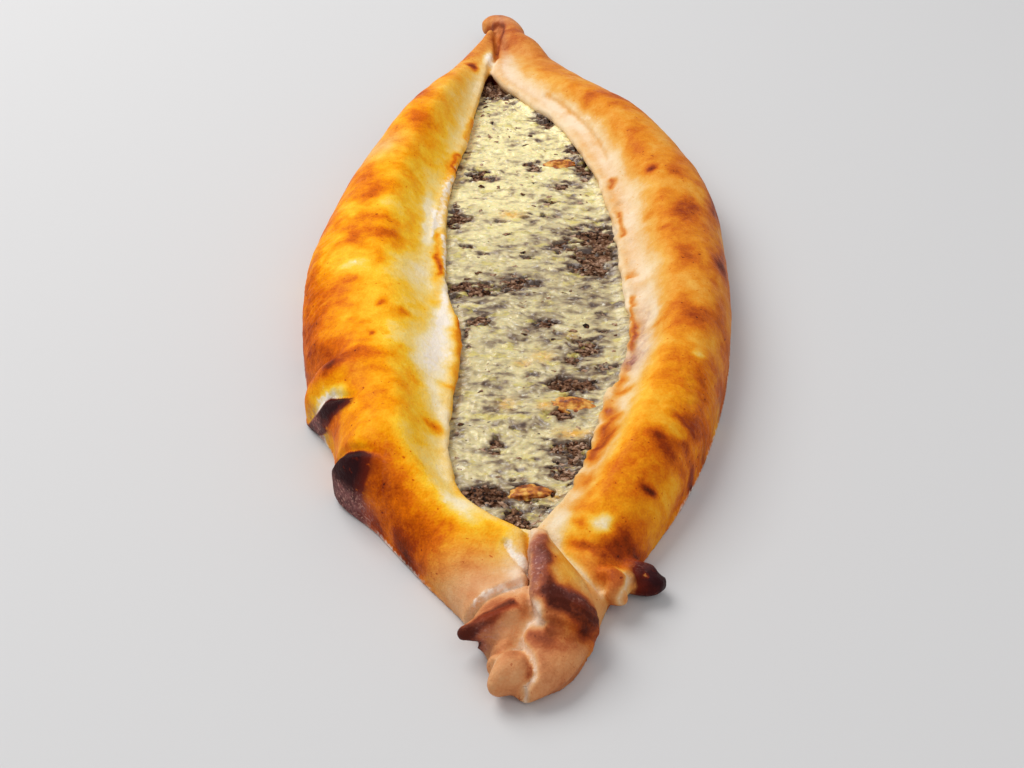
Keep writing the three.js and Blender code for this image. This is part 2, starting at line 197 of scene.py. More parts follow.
def seam(y):
    """The line where the two sides meet when they are folded shut."""
    near = (LEFT_LIP[0][1] + RIGHT_LIP[0][1]) / 2
    far = (LEFT_LIP[-1][1] + RIGHT_LIP[-1][1]) / 2
    to_near = mix(near, TONGUE["x"], smooth(-y, -NEAR_APEX, -HULL_NEAR))
    return np.where(y < 0, to_near, mix(far, FAR_SEAM_X, smooth(y, FAR_APEX, 160)))


def inner_edge(side, y):
    open_here = (y > NEAR_APEX) & (y < FAR_APEX)
    return np.where(open_here, lip_curves[side](y), seam(y) + side)


def height_left(fall, distance):
    past = np.clip((distance - fall["round_from"]) / fall["round_over"], 0, 1)
    return mix(1, fall["left"], smooth(distance, fall["start"], fall["end"])) * np.sqrt(1 - past**2)


def crest_height(side, y):
    crest = LEFT_CREST if side < 0 else RIGHT_CREST
    return crest * np.where(y < 0, height_left(NEAR_FALL, -y), height_left(FAR_FALL, y))


def rim_section(side, y, steps):
    """One rim's upper surface at y, from its foot to its inner edge, as (x, z) arrays."""
    outer, inner, top = outer_edge(side, y), inner_edge(side, y), crest_height(side, y)
    crest = mix(outer, inner, CREST_PLACE)
    t = np.linspace(0, 1, steps)[None, :]
    y, outer, inner, crest, top = (v[:, None] for v in (y, outer, inner, crest, top))
    on_wall = t < WALL_SHARE
    angle = np.clip(t / WALL_SHARE, 0, 1) * math.pi / 2
    wall_x = mix(crest, outer, np.clip(np.cos(angle), 0, 1) ** 0.8)
    wall_x = wall_x + FOOT_BULGE * (crest - outer) * np.clip(1 - t / 0.12, 0, 1)
    wall_z = top * np.sin(angle) ** 0.85
    inward = np.clip((t - WALL_SHARE) / (1 - WALL_SHARE), 0, 1)
    lip = mix(LIP_TOP, 0.93 * top, smooth(np.abs(y), 128, 150))
    rounding = LIP_ROUNDING * np.clip((inward - 0.9) / 0.1, 0, 1) ** 2
    x = np.where(on_wall, wall_x, mix(crest, inner, inward))
    z = np.where(on_wall, wall_z, mix(top, lip, smooth(inward, 0, 0.9)) - rounding)
    humps = sum(
        height * bell(np.hypot((x - at_x) / wide, (y - at_y) / long))
        for at_x, at_y, wide, long, height in LEFT_HUMPS
    )
    return x, z + humps * np.minimum(1, z / 8)


def loft(rings):
    """Points and faces of a closed solid through rings, an array of ring, point, coordinate."""
    count, around = rings.shape[:2]
    index = np.arange(count * around).reshape(count, around)
    a, b = index[:-1], index[1:]
    sides = np.stack([a, b, np.roll(b, -1, 1), np.roll(a, -1, 1)], -1).reshape(-1, 4)
    faces = sides.tolist() + [index[0].tolist(), index[-1][::-1].tolist()]
    return rings.reshape(-1, 3), faces


def placed(name, data):
    made = bpy.data.objects.new(name, data)
    bpy.context.scene.collection.objects.link(made)
    return made


def mesh_object(name, points, faces):
    mesh = bpy.data.meshes.new(name)
    mesh.from_pydata(np.asarray(points).tolist(), [], faces)
    mesh.update()
    return placed(name, mesh)


def triples(source, title):
    found = np.zeros(len(source) * 3)
    source.foreach_get(title, found)
    return found.reshape(-1, 3)


def points_of(made):
    return triples(made.data.vertices, "co")


def normals_of(made):
    return triples(made.data.vertex_normals, "vector")


def put_points(made, points):
    made.data.vertices.foreach_set("co", np.ascontiguousarray(points).ravel())
    made.data.update()


def settle(made):
    """Applies what stands in an object's modifier stack to its mesh."""
    graph = bpy.context.evaluated_depsgraph_get()
    shaped = bpy.data.meshes.new_from_object(made.evaluated_get(graph))
    old = made.data
    made.modifiers.clear()
    made.data = shaped
    bpy.data.meshes.remove(old)


def cut_or_join(made, others, operation):
    for other in others:
        step = made.modifiers.new("step", "BOOLEAN")
        step.operation = operation
        step.solver = "MANIFOLD"
        step.object = other
    settle(made)
    for other in others:
        bpy.data.objects.remove(other)


stations = np.sort(np.concatenate([
    np.linspace(HULL_NEAR, HULL_FAR, 240), HULL_NEAR + np.linspace(0.1, 4, 6),
    HULL_FAR - np.linspace(0.1, 4, 6),
]))
right_x, right_z = rim_section(1, stations, 34)
left_x, left_z = rim_section(-1, stations, 34)
hull_x = np.concatenate([right_x, left_x[:, ::-1]], 1)
hull_z = np.concatenate([right_z, left_z[:, ::-1]], 1)
hull_y = np.repeat(stations[:, None], hull_x.shape[1], 1)
dough = mesh_object("dough", *loft(np.stack([hull_x, hull_y, hull_z], -1)))

# The angles round a roll or a knob, and the least height of its underside.
AROUND = np.linspace(0, 2 * math.pi, 28, endpoint=False)[None, :]
LOWEST = 0.1


def rolled_fold(name, lean, stops):
    """A roll of dough through stops, whose top leans over to one side by a share of its width."""
    along = np.linspace(0, 1, 8 * (len(stops) - 1) + 1)
    places = np.linspace(0, 1, len(stops))
    x, y, z, wide, high = (through(list(zip(places, v)))(along) for v in zip(*stops))
    ahead = np.stack([np.gradient(x), np.gradient(y)], 1)
    ahead /= np.linalg.norm(ahead, axis=1)[:, None]
    x, y, z, wide, high = (v[:, None] for v in (x, y, z, wide, high))
    offset = wide * np.cos(AROUND)
    roll_x = x + ahead[:, 1:] * offset + lean * wide * np.clip(np.sin(AROUND), 0, 1)
    roll_y = y - ahead[:, :1] * offset
    roll_z = np.maximum(z + high * np.sin(AROUND), LOWEST)
    return mesh_object(name, *loft(np.stack([roll_x, roll_y, roll_z], -1)))


def knob(x, y, z, half_width, half_length, half_height, turn):
    """An uneven button of dough."""
    tall = np.linspace(-0.49, 0.49, 18)[:, None] * math.pi
    wave = 1 + 0.14 * np.sin(3 * AROUND + x) + 0.1 * np.sin(5 * AROUND + y)
    across = half_width * wave * np.cos(AROUND) * np.cos(tall)
    along = half_length * wave * np.sin(AROUND) * np.cos(tall)
    across, along = turned(across, along, turn)
    knob_z = np.maximum(z + half_height * np.sin(tall) + 0 * AROUND, LOWEST)
    return mesh_object("knob", *loft(np.stack([x + across, y + along, knob_z], -1)))


folds = [rolled_fold(name, lean, stops) for name, (lean, stops) in FOLDS.items()]
folds += [knob(*sizes) for sizes in KNOBS]
cut_or_join(dough, folds, "UNION")

# The pocket for the filling: it reaches under both lips, and runs out to a slit at the far end.
POCKET_FLOOR = 5
LIP_UNDERSIDE = 9.8
LIP_EDGE_BOTTOM = 10.8
LIP_EDGE_TOP = 12.5
ABOVE_THE_RIMS = 60
LIP_EDGE_ROUND = 0.6
UNDERCUT = 5
rows = np.linspace(NEAR_APEX + 2.5, FAR_APEX + 6, 176)
wave = noise(np.stack([0 * rows, rows, 0 * rows], 1), 6, 3) * 0.5
from_end = np.minimum(rows - NEAR_APEX, FAR_APEX - rows)
slit = 1 - 0.9 * smooth(rows, FAR_APEX - 4, FAR_APEX + 6)
under = (UNDERCUT * smooth(from_end, 0, 18) + 1) * slit
left = seam(rows) + (inner_edge(-1, rows) - LIP_EDGE_ROUND - seam(rows)) * slit
left += wave * smooth(from_end, 3, 20)
right = seam(rows) + (inner_edge(1, rows) + LIP_EDGE_ROUND - seam(rows)) * slit
right += wave[::-1] * smooth(from_end, 3, 20)
outline = [
    (left - under, POCKET_FLOOR), (right + under, POCKET_FLOOR), (right + under, LIP_UNDERSIDE),
    (right + LIP_EDGE_ROUND, LIP_EDGE_BOTTOM), (right, LIP_EDGE_TOP), (right, ABOVE_THE_RIMS),
    (left, ABOVE_THE_RIMS), (left, LIP_EDGE_TOP), (left - LIP_EDGE_ROUND, LIP_EDGE_BOTTOM),
    (left - under, LIP_UNDERSIDE),
]
pocket = np.stack([np.stack([x, rows, 0 * rows + z], -1) for x, z in outline], 1)
cut_or_join(dough, [mesh_object("pocket", *loft(pocket))], "DIFFERENCE")

grain = dough.modifiers.new("grain", "REMESH")
grain.mode = "VOXEL"
grain.voxel_size = DOUGH_STEP
soften = dough.modifiers.new("soften", "SMOOTH")
soften.factor = 0.5
soften.iterations = 3
settle(dough)


def moved_by_noise(points, far, size, seed):
    """Places shifted at random by up to about the given distance, to make soft marks ragged."""
    shift = np.stack([noise(points, size, seed + k, 2) for k in range(3)], 1)
    return points + far * shift


def marks(points, places):
    """Soft oval marks, summed: x, y, half width, half length, strength, turn in degrees or none."""
    total = np.zeros(len(points))
    for x, y, wide, long, strength, *turn in places:
        angle = -math.radians(sum(turn))
        over_x, over_y = turned(points[:, 0] - x, points[:, 1] - y, angle)
        total += strength * bell(0.85 * np.hypot(over_x / wide, over_y / long))
    return total


def beside(points, line):
    """Distance from a line of (x, y) stops, positive on its left-hand side."""
    nearest = np.full(len(points), 1e6)
    signed = np.full(len(points), 1e6)
    for (ax, ay), (bx, by) in zip(line, line[1:]):
        along_x, along_y = bx - ax, by - ay
        over_x, over_y = points[:, 0] - ax, points[:, 1] - ay
        t = np.clip((over_x * along_x + over_y * along_y) / (along_x**2 + along_y**2), 0, 1)
        gap = np.hypot(over_x - t * along_x, over_y - t * along_y)
        hand = np.where(along_x * over_y - along_y * over_x > 0, 1, -1)
        closer = gap < nearest
        nearest = np.where(closer, gap, nearest)
        signed = np.where(closer, gap * hand, signed)
    return signed


def strokes(points, lines):
    """Soft lines through (x, y) stops, summed: stops, half width, strength."""
    total = np.zeros(len(points))
    for stops, half_width, strength in lines:
        total += strength * bell(0.85 * beside(points, stops) / half_width)
    return total


# Creases between folds: stops, depth, width, rise of the sheet on its left, how pale it is.
CREASES = [
    ([(-14.1, -171.3), (-11.8, -170.8), (-8, -168.6), (-2.8, -165.4), (0.6, -163.8)], 1, 1, 1.6, 0.3),
    ([(-4.2, -150.7), (-1.4, -154.9), (1.6, -159.5)], 0.9, 1, 1, 0.3),
    ([(3.2, -152), (2.6, -160), (2.2, -166), (2.2, -174), (3, -178), (6, -182)], 1, 0.9, 1, 0.6),
    ([(7.6, -182), (12.7, -183.5), (16.2, -183.4), (20.7, -181)], 1.1, 1, 1, 0),
    ([(22.3, -163.5), (19.8, -161.5), (17.1, -158.5), (13, -154.6), (8, -150)], 1.4, 1.6, 0.5, 0.8),
    ([(2.4, -178), (0, -181), (-1.1, -184.8)], 1.5, 1.3, 0, 0.8),
    ([(-1.1, -184.8), (-3.8, -186.8), (-6.4, -189.2), (-9.1, -192)], 1.8, 1.1, 0, 1),
    ([(-0.8, -185.6), (1.6, -188.8), (3, -192.3), (3, -195.3), (0.6, -198)], 2, 1, 0.3, 1),
    ([(-13, -181.2), (-7.9, -182.6), (-2.8, -183.4)], 0.9, 1.1, 0, 0.1),
    ([(27, -168), (30, -164.9), (30.7, -161.2), (28, -158.4)], 0.7, 0.9, 0, 0.8),
    ([(-13, 188.6), (-9.4, 187.4), (-7, 183), (-7, 174), (-8.8, 168), (-9, 152)], 0.9, 1.1, 0.5, -0.5),
    ([(28, -150), (17.5, -152.8), (9, -150.6)], 0.5, 1.6, 0.3, 0),
    ([(11.5, 113), (17.5, 104.6), (23.3, 93.6), (28.1, 82.2), (31.3, 72.6), (34, 60)],
     0.7, 0.9, 0, -0.25),
]
# Edges of the two folds that stood out of the left side and burnt: stops, how far the burn
# reaches from the edge, where it is strongest, as a mark, and its lower limit on the wall, as
# the x where that meets the ground and its rise for each mm of x.
BURNT_FOLDS = [
    ([(-46, -99.5), (-52, -96), (-57.1, -92), (-62, -87.2), (-65.5, -82), (-68.5, -77), (-76, -74)],
     5.5, (-59.6, -90, 9.6, 3.3, 1, -48), (-64.5, 1.75)),
    ([(-33, -127.5), (-43.8, -123), (-49.5, -120), (-54, -116.3), (-57, -113.4), (-70, -112)],
     11, (-54.6, -121, 9.4, 9, 1, -30), (-60, 0)),
]
# Sharp ridges of folds: stops, rise, width.
RIDGES = [
    ([(6, -149), (6.3, -160), (7, -166.4), (7.5, -171.7), (7.2, -177.9)], 1.5, 1.3),
    ([(-15.4, -179.6), (-10.6, -179.1), (-5.7, -177.7), (-1.1, -176.3)], 1.6, 1.3),
    ([(-24.6, 54), (-29.6, 34), (-31.2, 18), (-31.4, 4)], 0.5, 0.9),
]
# Patches of fine wrinkles, lumps and small blisters, as marks whose strength is their height.
WRINKLED = [(-67, -30, 7, 20, 0.34), (56, -92, 10, 20, 0.136), (14, -178, 7, 5, 0.3)]
LUMPY = [(34, -156, 9, 6, 1.3)]
BLISTERED = [(44, -108, 14, 16, 0.8), (52, -20, 10, 30, 0.48)]
LIP_BUMPS = {"left": 0.4, "right": 1.7}
FOOT_LEDGE = 0.7
PLEAT_SET_BACK = 3.2
points = points_of(dough)
x, y, z = points.T
side = np.where(x < seam(y), -1, 1)
outer = np.where(side < 0, outer_edge(-1, y), outer_edge(1, y))
inner = np.where(side < 0, inner_edge(-1, y), inner_edge(1, y))
across = np.clip((x - inner) / (outer - inner), -0.2, 1.1)
upper = smooth(normals_of(dough)[:, 2], -0.5, 0.1)
beside_pocket = (y > NEAR_APEX) & (y < FAR_APEX)
outside = np.where(beside_pocket, smooth(across, -0.06, 0), 1) * smooth(z, 0.2, 3)

lift = 0.45 * noise(points, 24, 1) + 0.22 * noise(points, 7, 2)
wrinkles = np.sin((y - 0.15 * x + 2.4 * noise(points, 9, 4)) * 2.3)
lift += wrinkles * marks(points, WRINKLED)
lip_bumps = bell((across - 0.05) / 0.09) * smooth(y, -135, -120) * (1 - smooth(y, 30, 70))
bump_height = np.where(side > 0, LIP_BUMPS["right"], LIP_BUMPS["left"])
lift += bump_height * lip_bumps * noise(points, 3.8, 5, 2)
lift += noise(points, 4.5, 8, 2) * marks(points, LUMPY)
lift += np.clip(noise(points, 5.5, 6, 2) - 0.35, 0, 1) * marks(points, BLISTERED)
ragged = moved_by_noise(points, 1.3, 4, 11)
pale_line = np.zeros(len(points))
for stops, depth, width, rise, pale in CREASES:
    gap = beside(points, stops)
    lift -= depth * bell(gap / width)
    lift += np.where(gap > 0, rise * np.exp(-np.abs(gap) / 4) * smooth(gap, 0, width), 0)
    pale_line += pale * bell((gap - 0.5 * width) / width)
# The burns end at this height on the wall: it rises inwards, and is lower on the upper fold.
burn_top = 4.5 + 2 * np.clip(x + 67.5, 0, 12) - 4 * smooth(y, -104, -96)
burn = np.zeros(len(points))
for stops, reach, strongest, (foot, slope) in BURNT_FOLDS:
    gap = beside(points, stops)
    here = np.clip(1.35 * marks(ragged, [strongest]), 0, 1)
    here *= 1 - smooth(z - burn_top, 0, 2.5)
    here *= smooth(z - slope * (x - foot), -2, 1)
    sheet = 1.9 * np.exp(-np.abs(gap) / 4) * smooth(gap, 0, 1)
    lift += here * (sheet - 1.1 * bell((gap + 0.4) / 1.1))
    burn += here * smooth(gap, -0.5, 0.5) * (1 - smooth(gap, 0.15 * reach, reach))
for stops, rise, width in RIDGES:
    lift += rise * np.exp(-np.abs(beside(points, stops)) / width)
ledge = bell((z - 0.9) / 1.1) * np.where(side > 0, smooth(y, -140, -120), smooth(y, -170, -150))
ledge *= (1 - smooth(y, 40, 70)) * bell((across - 1) / 0.1)
put_points(dough, points + normals_of(dough) * (lift * upper * outside)[:, None])
points = points_of(dough)
points[:, 0] += FOOT_LEDGE * ledge * side
over_pleat = smooth(points[:, 1], -79, -75) * (1 - smooth(points[:, 1], -74, -60))
over_pleat *= smooth(points[:, 2], 1, 6) * (1 - smooth(points[:, 0], -62, -54))
points[:, 0] += PLEAT_SET_BACK * over_pleat
points[:, 2] = np.maximum(points[:, 2], 0)
put_points(dough, points)

# Where the oven browned it more: x, y, half width, half length, strength, turn.
TOASTED = [
    (-39.8, 101, 4.5, 7, 0.28, -12), (-18.7, 137.3, 2, 3.4, 0.5), (-39, 70, 4, 7, 0.22),
    (-27.6, 57.4, 1.7, 7, 0.3), (-53.9, 32, 3.5, 3.5, 0.16), (-52.7, 17, 4, 4, 0.26),
    (-54.6, 7, 4, 4, 0.16), (-45.8, -8.4, 5, 5, 0.26), (-44, 1.9, 4, 2, 0.16),
    (-48.5, -20, 1.8, 2, 0.18), (-47.2, -24.2, 1.8, 2, 0.16), (-55, -35.6, 4, 3.4, 0.2),
    (-29, -15, 1.8, 9, 0.22), (-45.5, -50.2, 1.5, 1.8, 0.26), (-37.3, -52.4, 2.4, 2, 0.26),
    (-46.9, -68, 1.4, 1.2, 0.34), (-41.5, -67.4, 1.2, 1.2, 0.2), (-60, -74, 8, 7, 0.2),
    (-58.6, -81.5, 2.4, 1.8, 0.2), (-47, -77.5, 7, 4, 0.2, 10), (-36.6, -71.7, 2.4, 1.6, 0.14),
    (-66, -54, 7, 9, 0.12), (-26.1, -102.5, 3, 3.3, 0.42), (-31.3, -85.3, 3.6, 1.5, 0.16),
    (-22, -78.9, 2.6, 1.4, 0.26), (-37, -133, 6, 5, 0.1), (-30, -144, 10, 5, 0.14, -10),
    (-20, -54, 1.6, 24, 0.22), (-21, -22, 1.4, 8, 0.2), (35, 101, 7, 10, 0.12, 40),
    (49.4, 39, 2, 2, 0.45), (35.9, 45.9, 1.8, 2.4, 0.3), (58, 36.5, 3, 3.6, 0.14),
    (58.7, 13, 4, 7, 0.14), (46.9, 11, 1.6, 1.6, 0.2), (51.5, -1.6, 2, 1.6, 0.2),
    (57.8, -22, 5, 8, 0.28), (71, -16, 3, 5, 0.3), (71, 21, 2.6, 6, 0.25),
    (39.6, -16.9, 1.8, 2, 0.42), (41.9, -25, 2.6, 3, 0.24), (44.6, -53.2, 1.6, 1.2, 0.2),
    (52.9, -47, 3, 3, 0.12), (56.2, -55, 4, 5, 0.14), (32, -76.7, 2.6, 2.6, 0.4),
    (33, -84.3, 1.9, 2.6, 0.5), (27.8, -90.8, 2.4, 3, 0.4), (28.9, -98.5, 2.2, 2.8, 0.35),
    (27, -105, 3, 4.4, 0.42), (23.9, -110, 3, 2.8, 0.38), (20.6, -114.5, 2.6, 3, 0.4),
    (19.8, -127, 3.6, 4.4, 0.3), (41.2, -114.3, 2.6, 2, 0.3), (45.3, -118.5, 4.6, 2.8, 0.24),
    (51, -113.4, 4, 2, 0.22), (48.9, -105.6, 4, 1.2, 0.2, -8), (38, -132, 2, 1.4, 0.45),
    (16.6, -144.6, 2.4, 1.4, 0.26), (17.5, -151.5, 5.5, 1.5, 0.24, -10), (15, -177.6, 8, 3.8, 0.42),
    (32, -150, 6, 4, 0.25), (6, -150, 2.6, 3.6, 0.25), (24, -160, 5, 5, 0.25, 20),
    (-40, -130, 8, 6, 0.14, -20), (-7, -172.6, 5, 2, 0.3, 18), (5.6, -184.4, 4, 2.6, 0.3),
    (-3.2, -192.5, 3.6, 4.4, 0.2), (1.7, -194, 0.7, 3, 0.4), (28, -163, 3, 3, 0.3),
    (17, -182, 4, 1.6, 0.2), (11, -168, 3, 6, 0.16, 30),
]
# The same along lines: stops, half width, strength.
TOASTED_LINES = [
    ([(39, -29), (38.3, -44), (37.4, -58)], 1.0, 0.5), ([(35.6, -67), (32.1, -80), (31, -88)], 1.1, 0.15),
    ([(29.4, -92), (25.6, -106.9), (22, -121.8), (19.1, -131.6), (15, -139)], 2.4, 0.24),
    ([(38.2, 24), (37.6, 8)], 0.7, 0.4), ([(36, 47), (35.6, 42)], 1, 0.35),
    ([(12, 114), (18, 105), (23.8, 94), (28.4, 82.5), (32, 71)], 1.1, 0.13),
    ([(-29.4, 9), (-29, -3), (-28, -15)], 1.2, 0.32), ([(-24.2, 67), (-25, 57)], 1.2, 0.4),
    ([(-18.6, 96), (-20.8, 80)], 0.9, 0.25),
    ([(3.9, -157), (4.2, -165), (4.6, -175)], 2, 0.4),
    ([(6.6, -158), (7.2, -170), (8.6, -179)], 1.5, 0.42),
    ([(-17, -180), (-13, -179.6), (-9, -177.9), (-5.6, -176.3), (-2.4, -174.6)], 1.4, 0.75),
    ([(9.5, -177.5), (15, -176.6), (20.5, -176.5)], 3, 0.34),
]
# Where it browned less.
UNDERBAKED = [
    (-52.5, 56, 5.5, 9, 0.3, -30), (-56.5, -26.7, 3.4, 4, 0.35, -40), (-33, 18, 1.1, 15, 0.4),
    (-27.6, -66, 4.2, 11, 0.5, -8), (-26, -46, 2.4, 9, 0.5, -6), (-24.8, -28, 1.4, 9, 0.5),
    (-60, -89.6, 4.6, 2, 0.75, -40), (-38, -40, 7, 11, 0.14), (-37, -20, 6, 12, 0.22),
    (-25, -92, 1.8, 8, 0.4, 12), (-21.4, -110, 1.6, 12, 0.25), (-45, -74, 4, 2, 0.1),
    (-19.5, -137, 2.6, 11, 0.35, 35), (4.4, -176.5, 1.8, 5, 0.35, -10),
    (10, -181, 2.4, 1, 0.2, -12), (44, -44, 1.4, 6, 0.25), (57, -74.5, 1.4, 1.5, 0.35),
    (47, -109.8, 2.4, 1.8, 0.14), (23.5, -144.3, 2.8, 2, 0.65), (-12.5, 150, 1.6, 5.5, 0.7),
    (22, 92, 3, 12, 0.2, 38), (10, -150, 3, 2, 0.3), (5.2, -179.4, 2.4, 2.2, 0.4, -30),
    (-0.8, -160.5, 2.6, 3.4, 0.35, -30),
]
# Where it is burnt black, besides the two folds.
CHARRED = [
    (38, -157, 5.5, 5, 0.95), (66, -79, 2.6, 7, 0.25, 12), (62, -92, 2.6, 5, 0.2, 12),
    (58.5, -102, 2.6, 4, 0.3, 12), (-7, -177.4, 5.5, 1, 0.3, 14), (16, -177, 4.5, 2.2, 0.15),
    (-59, -104, 2, 2, 0.4),
]
# Painted sheen: a greyish pink reflection of the sky, painted where burnt or doubled dough has blistered.
PAINTED_SHEEN = [
    (-49.5, -126, 6, 5, 1.0, -35), (-53.5, -119.5, 3, 4, 0.7, -30), (-64, -88, 5, 2, 1.0, -43),
    (-8.6, -180.8, 4.4, 1.3, 0.55, 8), (4.2, -167, 1.7, 8, 0.9), (40, -52, 2.6, 13, 0.5, -8),
    (36.6, -66, 3, 4, 0.9), (66, -84, 3, 8, 0.4, 12), (34, -154, 3, 2, 0.3), (40, -146, 3, 4, 0.3),
    (28.5, -92, 1.6, 2, 0.35), (15, -175, 5, 1.4, 0.4),
]
# Where dry flour still clings: patches, and then lines along the lips and creases.
FLOURED = [
    (-27.6, -66, 3.6, 10, 1.0, -8), (-26, -46, 1.8, 9, 1.0, -6), (-24.8, -28, 1.1, 9, 0.9),
    (-60.4, -89.6, 4, 1.6, 1.2, -40), (-56.5, -26.7, 2.6, 3.4, 0.45, -40),
    (23.5, -144.3, 2.4, 1.6, 0.4), (-12.5, 150, 1.5, 5, 0.9), (-20, -139, 1.4, 8, 0.4, 35),
    (28, 88, 1.6, 9, 0.35, 40), (-25.4, -91, 1, 6, 0.5, 14),
]
FLOURED_LINES = [
    ([(-17.2, 95), (-21, 71), (-23.6, 55)], 0.9, 0.4), ([(-25.6, 50), (-28.4, 33), (-29.4, 16)], 2, 0.7),
    ([(-31.2, 25), (-31.5, 5)], 0.6, 0.9), ([(-27.2, 9), (-26.2, -2), (-25.2, -18)], 0.8, 0.8),
    ([(-3.6, -150.4), (-1, -154.4), (1.4, -158.4)], 1, 0.9),
    ([(-12.1, -169.6), (-8.3, -167.9), (-4.1, -165.9), (-0.3, -164.2)], 1.1, 0.6),
]
# Where the dough is pinker than elsewhere, and, below 0, less pink than the rest of its tail.
BLUSHED = [
    (4.6, -160, 2, 9, 0.7), (-52.5, 56, 6, 9, 0.6, -30), (-6, 190, 9, 8, 0.5), (37, -66, 4, 7, 0.5),
    (26, -160, 6, 6, -0.5), (17, -182, 5, 2, -0.6), (12, -164, 4, 7, -0.6),
]
# How brown each rim is, from its lip at 0 over the crest to its foot at 1.
left_bake = through([
    (-0.2, 0.3), (0, 0.36), (0.06, 0.26), (0.14, 0.22), (0.24, 0.34), (0.4, 0.42), (0.6, 0.5),
    (0.8, 0.57), (0.95, 0.64), (1.1, 0.6),
])
right_bake = through([
    (-0.2, 0.1), (0, 0.04), (0.04, 0.16), (0.08, 0.2), (0.13, 0.08), (0.21, 0.1), (0.29, 0.33),
    (0.42, 0.49), (0.56, 0.54), (0.72, 0.57), (0.88, 0.6), (1, 0.63), (1.1, 0.6),
])
NEAR_TAIL_BAKE = 0.38
FAR_TAIL_BAKE = 0.55
POCKET_BAKE = 0.12
near_tail = 1 - smooth(y, -166, -146)
far_tail = smooth(y, 140, 165)
bake = np.where(side < 0, left_bake(across), right_bake(across))
bake = mix(bake, NEAR_TAIL_BAKE + 0.1 * smooth(-y, 168, 184), near_tail)
bake = mix(bake, FAR_TAIL_BAKE, far_tail)
bake += marks(ragged, TOASTED) + strokes(ragged, TOASTED_LINES) - marks(ragged, UNDERBAKED)
bake += 0.15 * noise(points, 16, 21, 2) + 0.05 * noise(points, 5, 22, 2)
bake = np.where(beside_pocket & (across < -0.02), POCKET_BAKE, bake - 0.5 * pale_line)
flour = marks(ragged, FLOURED) + strokes(ragged, FLOURED_LINES)
flour += 0.7 * ledge + 0.4 * np.clip(pale_line, 0, 1)
char = (marks(ragged, CHARRED) + burn) * np.where(beside_pocket, smooth(across, 0.02, 0.1), 1)
# Painted shade: the mouth of the far seam is darkened inside as if burnt, where shade falls into it.
char += smooth(-z, -13, -10) * bell((x - seam(y)) / 3) * bell((y - 136) / 7)
# The painted sheen of the sky, kept below about 9 to 14 mm on the left side.
bloom = marks(ragged, PAINTED_SHEEN) * np.where(x < -40, 1 - smooth(z, 9, 14), 1)
blush = np.clip(0.85 * near_tail - 0.4 * marks(points, [(13, -170, 8, 12, 1)]), 0, 1)
blush += marks(ragged, BLUSHED) + 0.35 * smooth(y, 115, 165)
# Painted shade and painted sky sheen: the outer walls of the far half turn a greyish pink.
blush += 0.6 * smooth(across, 0.85, 1) * smooth(y, 50, 90)
blush += 0.35 * (side > 0) * bell((across - 0.12) / 0.08) * smooth(y, -75, -60)
right_gold = (0.2 + 0.5 * (1 - smooth(y, -100, -40))) * smooth(across, 0.15, 0.4)
gold = np.where(side < 0, 1 - 0.5 * smooth(y, 60, 130), right_gold) * (1 - 0.6 * near_tail)
gold *= 1 - 0.4 * bell((across - 0.04) / 0.08)


def keep_layers(made, **layers):
    """Keeps shares from 0 to 1 on an object's points, for its material to read by name."""
    for name, values in layers.items():
        layer = made.data.attributes.new(name, "FLOAT", "POINT")
        layer.data.foreach_set("value", np.clip(values, 0, 1).astype(np.float32))


def smooth_faces(made, flat_after=None):
    """Shades an object smooth, up to the face with the given number if there is one."""
    number = np.arange(len(made.data.polygons))
    made.data.polygons.foreach_set("use_smooth", number < (flat_after or len(number)))


keep_layers(dough, bake=bake, char=char, bloom=bloom, flour=flour, blush=blush, gold=gold)
put_points(dough, points_of(dough) / 1000)
smooth_faces(dough)


def node(tree, kind, values=None, **settings):
    """A shader node with its settings, and its inputs given a value or linked to a socket."""
    made = tree.nodes.new("ShaderNode" + kind)
    for name, value in settings.items():
        setattr(made, name, value)
    for name, value in (values or {}).items():
        if isinstance(value, bpy.types.NodeSocket):
            tree.links.new(value, made.inputs[name])
        else:
            made.inputs[name].default_value = value
    return made


def reckon(tree, operation, a, b):
    """A number made of two others by a shader node."""
    return node(tree, "Math", {0: a, 1: b}, operation=operation).outputs[0]


def new_group(name, inputs, output):
    """An empty shader node group with number inputs and one number output."""
    tree = bpy.data.node_groups.new(name, "ShaderNodeTree")
    for title, value in inputs.items():
        socket = tree.interface.new_socket(title, in_out="INPUT", socket_type="NodeSocketFloat")
        socket.default_value = value
    tree.interface.new_socket(output, in_out="OUTPUT", socket_type="NodeSocketFloat")
    return tree, tree.nodes.new("NodeGroupInput"), tree.nodes.new("NodeGroupOutput")


# Mottling: soft blotches of a given size in millimetres, used on everything baked or melted.
mottling, given, result = new_group(
    "mottling", {"Size": 3, "Detail": 4, "Start": 0.35, "End": 0.65, "Stretch": 1}, "Mask"
)
place = node(mottling, "TexCoord").outputs["Object"]
place = node(mottling, "Mapping", {"Vector": place, "Scale": (1000, 1000, 1000)}).outputs[0]
spread = node(mottling, "CombineXYZ", {"X": given.outputs["Stretch"], "Y": 1, "Z": 1}).outputs[0]
place = node(mottling, "VectorMath", {0: place, 1: spread}, operation="DIVIDE").outputs[0]
small = reckon(mottling, "DIVIDE", 1, given.outputs["Size"])
cloud = node(mottling, "TexNoise", {"Vector": place, "Scale": small, "Detail": given.outputs["Detail"]})
mask = node(mottling, "MapRange", {
    "Value": cloud.outputs[0], "From Min": given.outputs["Start"], "From Max": given.outputs["End"],
}, interpolation_type="SMOOTHSTEP")
mottling.links.new(mask.outputs[0], result.inputs["Mask"])


def mottle(tree, size, detail=4, **values):
    made = tree.nodes.new("ShaderNodeGroup")
    made.node_tree = mottling
    for name, value in {"size": size, "detail": detail, **values}.items():
        made.inputs[name.title()].default_value = value
    return made.outputs["Mask"]


